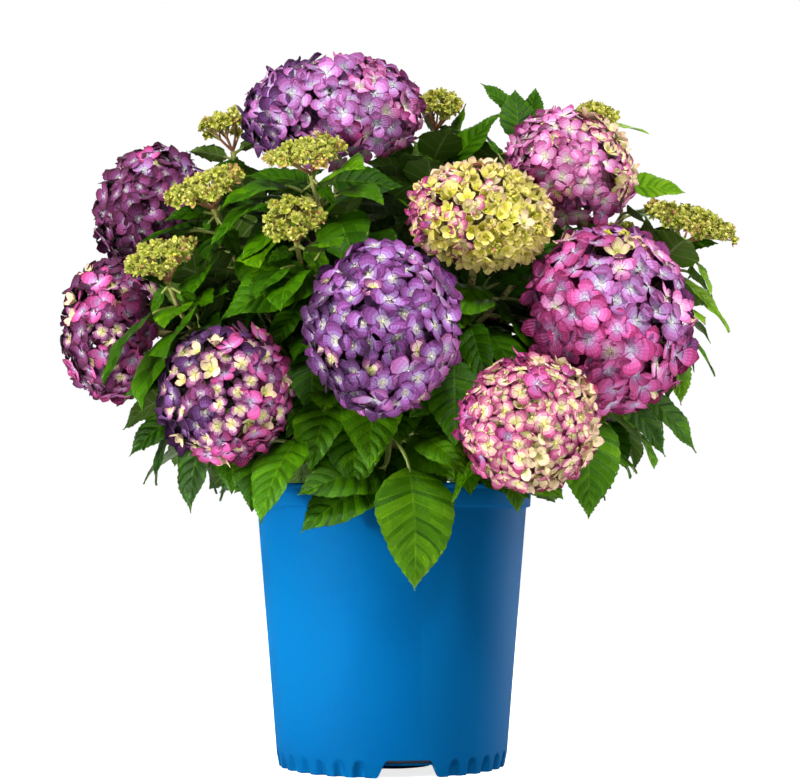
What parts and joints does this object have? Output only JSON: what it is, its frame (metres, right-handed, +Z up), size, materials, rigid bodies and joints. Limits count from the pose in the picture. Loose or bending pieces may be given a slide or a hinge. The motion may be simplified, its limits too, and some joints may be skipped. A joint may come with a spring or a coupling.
{
  "type": "potted hydrangea shrub",
  "caption": "Bushy mophead hydrangea with broad toothed leaves, round flower heads and flat bud clusters, growing in a tapered nursery pot.",
  "frame": {"origin": "on the pot's axis at its flat underside", "axes": "+Z up through the pot and plant, -Y towards the plant's front, +X to its right as seen from the front"},
  "size_m": [0.5666, 0.4861, 0.5963],
  "materials": {
    "pot_plastic": "satin moulded blue plastic",
    "potting_mix": "damp bark and peat crumbs",
    "bark": "thin flaking bark",
    "cane_bark": "green young bark with corky specks",
    "leaf_green": "soft quilted leaf with a faint sheen",
    "florets_purple": "matt petals",
    "florets_plum": "matt petals",
    "florets_violet": "matt petals",
    "florets_lilac": "matt petals",
    "florets_magenta": "matt petals",
    "florets_cream": "matt petals",
    "bud_green": "matt buds"
  },
  "bodies": {
    "root": {"pot": "pot_plastic", "potting_mix": "potting_mix", "stem_base": "bark", "cane_top": "cane_bark", "cane_left_high": "cane_bark", "cane_left_low": "cane_bark", "cane_front_left": "cane_bark", "cane_front": "cane_bark", "cane_inner_right": "cane_bark", "cane_right_high": "cane_bark", "cane_right": "cane_bark", "cane_front_right": "cane_bark", "cane_back_right_high": "cane_bark", "cane_back_left_high": "cane_bark", "cane_back": "cane_bark", "cane_back_right": "cane_bark", "cane_back_left": "cane_bark", "foliage_top": "leaf_green", "foliage_left_high": "leaf_green", "foliage_left_low": "leaf_green", "foliage_front_left": "leaf_green", "foliage_front": "leaf_green", "foliage_inner_right": "leaf_green", "foliage_right_high": "leaf_green", "foliage_right": "leaf_green", "foliage_front_right": "leaf_green", "foliage_back_right_high": "leaf_green", "foliage_back_left_high": "leaf_green", "foliage_back": "leaf_green", "foliage_back_right": "leaf_green", "foliage_back_left": "leaf_green", "bloom_top": "florets_purple", "bloom_left_high": "florets_plum", "bloom_left_low": "florets_plum", "bloom_front_left": "florets_plum", "bloom_front": "florets_violet", "bloom_inner_right": "florets_cream", "bloom_right_high": "florets_lilac", "bloom_right": "florets_magenta", "bloom_front_right": "florets_cream", "bloom_back_right_high": "florets_magenta", "bloom_back_left_high": "florets_violet", "bloom_back": "florets_magenta", "bloom_back_right": "florets_violet", "bloom_back_left": "florets_lilac", "buds_top_left": "bud_green", "buds_left_high": "bud_green", "buds_top_front": "bud_green", "buds_left_front": "bud_green", "buds_inner_left": "bud_green", "buds_top_right_buds": "bud_green", "buds_right_top": "bud_green", "buds_right_edge": "bud_green", "buds_back_top": "bud_green", "buds_back_far_left": "bud_green", "buds_back_far_right": "bud_green", "buds_back_low": "bud_green"}
  },
  "joints": []
}
